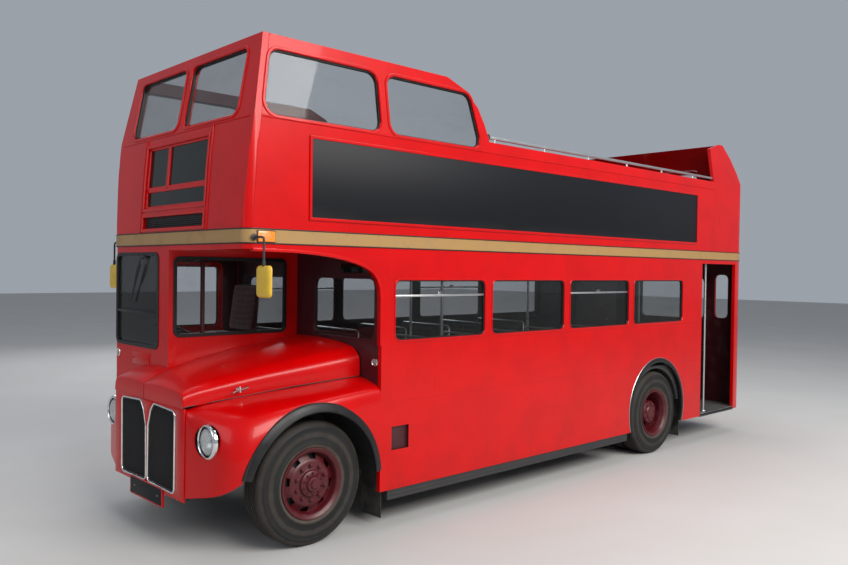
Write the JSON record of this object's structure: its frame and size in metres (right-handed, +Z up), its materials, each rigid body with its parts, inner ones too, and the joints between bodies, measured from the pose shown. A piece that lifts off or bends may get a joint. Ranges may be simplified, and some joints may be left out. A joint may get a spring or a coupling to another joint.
{
  "type": "double decker bus",
  "caption": "Half-cab double decker bus with an open upper deck, forward screens, an open rear platform with stairs, and hinged, sliding and steered parts.",
  "frame": {"origin": "on the road under the middle of the bus's length and width", "axes": "+X forward, +Y to the nearside (the left, where the platform opens), +Z up"},
  "size_m": [8.382, 2.92, 4.05],
  "materials": {
    "red_paint": "gloss",
    "maroon_paint": "satin",
    "gold_paint": "satin",
    "board_black": "matte",
    "window_glass": "clear",
    "bright_metal": "polished",
    "rail_metal": "satin",
    "dark_metal": "matte",
    "cast_metal": "rough",
    "tyre_rubber": "matte",
    "black_rubber": "matte",
    "floor_covering": "ribbed",
    "seat_cloth": "woven",
    "lamp_lens": "gloss",
    "mirror_back": "gloss"
  },
  "bodies": {
    "body": {"advert_boards": "board_black", "band": "gold_paint", "blind_boxes": "board_black", "bulkhead": "red_paint", "cab_floor": "floor_covering", "cab_shell": "red_paint", "cowl": "red_paint", "deck_floor": "floor_covering", "driver_seat": "seat_cloth", "engine": "cast_metal", "exhaust": "dark_metal", "front_suspension": "dark_metal", "fuel_tank": "dark_metal", "grille": "bright_metal", "handrails": "rail_metal", "headlamps": "bright_metal", "lifeguard_rails": "black_rubber", "lower_rear": "red_paint", "marker_lamps": "lamp_lens", "mirrors": "mirror_back", "mudflaps": "black_rubber", "near_side": "red_paint", "near_upper_side": "red_paint", "near_wing": "red_paint", "number_plates": "board_black", "off_side": "red_paint", "off_upper_side": "red_paint", "off_wing": "red_paint", "platform": "floor_covering", "radiator": "dark_metal", "rear_axle": "dark_metal", "saloon_floor": "floor_covering", "seat_frames": "bright_metal", "seats": "seat_cloth", "staircase": "floor_covering", "steering_wheel": "black_rubber", "subframes": "dark_metal", "tow_eye": "dark_metal", "upper_front": "red_paint", "upper_rear": "red_paint", "window_panes": "window_glass"},
    "near_knuckle": {"near_knuckle": "dark_metal"},
    "off_knuckle": {"off_knuckle": "dark_metal"},
    "near_front": {"near_front_tyre": "tyre_rubber", "near_front_wheel": "maroon_paint"},
    "off_front": {"off_front_tyre": "tyre_rubber", "off_front_wheel": "maroon_paint"},
    "near_rear": {"near_rear_tyres": "tyre_rubber", "near_rear_wheels": "maroon_paint"},
    "off_rear": {"off_rear_tyres": "tyre_rubber", "off_rear_wheels": "maroon_paint"},
    "bonnet": {"bonnet": "red_paint"},
    "cab_door": {"cab_door": "red_paint", "cab_door_pane": "window_glass"},
    "emergency_exit": {"emergency_exit": "red_paint", "exit_pane": "window_glass"}
  },
  "joints": [
    {"name": "near_steer", "type": "hinge", "parent": "body", "child": "near_knuckle", "pos_m": [3.291, 0.8, 0.508], "axis": [0, 0, 1], "range_deg": [-35, 35]},
    {"name": "off_steer", "type": "hinge", "parent": "body", "child": "off_knuckle", "pos_m": [3.291, -0.8, 0.508], "axis": [0, 0, 1], "range_deg": [-35, 35]},
    {"name": "near_front_spin", "type": "hinge", "parent": "near_knuckle", "child": "near_front", "pos_m": [3.291, 1, 0.508], "axis": [0, 1, 0], "continuous": true},
    {"name": "off_front_spin", "type": "hinge", "parent": "off_knuckle", "child": "off_front", "pos_m": [3.291, -1, 0.508], "axis": [0, 1, 0], "continuous": true},
    {"name": "near_rear_spin", "type": "hinge", "parent": "body", "child": "near_rear", "pos_m": [-1.84, 0.91, 0.508], "axis": [0, 1, 0], "continuous": true},
    {"name": "off_rear_spin", "type": "hinge", "parent": "body", "child": "off_rear", "pos_m": [-1.84, -0.91, 0.508], "axis": [0, 1, 0], "continuous": true},
    {"name": "bonnet_hinge", "type": "hinge", "parent": "body", "child": "bonnet", "pos_m": [2.666, -0.05, 1.616], "axis": [0.9889, 0, -0.1486], "range_deg": [0, 50]},
    {"name": "cab_door_slide", "type": "slide", "parent": "body", "child": "cab_door", "axis": [-1, 0, 0], "range_m": [0, 0.6]},
    {"name": "emergency_exit_hinge", "type": "hinge", "parent": "body", "child": "emergency_exit", "pos_m": [-4.1433, 0, 3.156], "axis": [0, -1, 0], "range_deg": [0, 90]}
  ],
  "couplings": [
    {"joint": "off_steer", "follows": "near_steer", "ratio": 1}
  ]
}
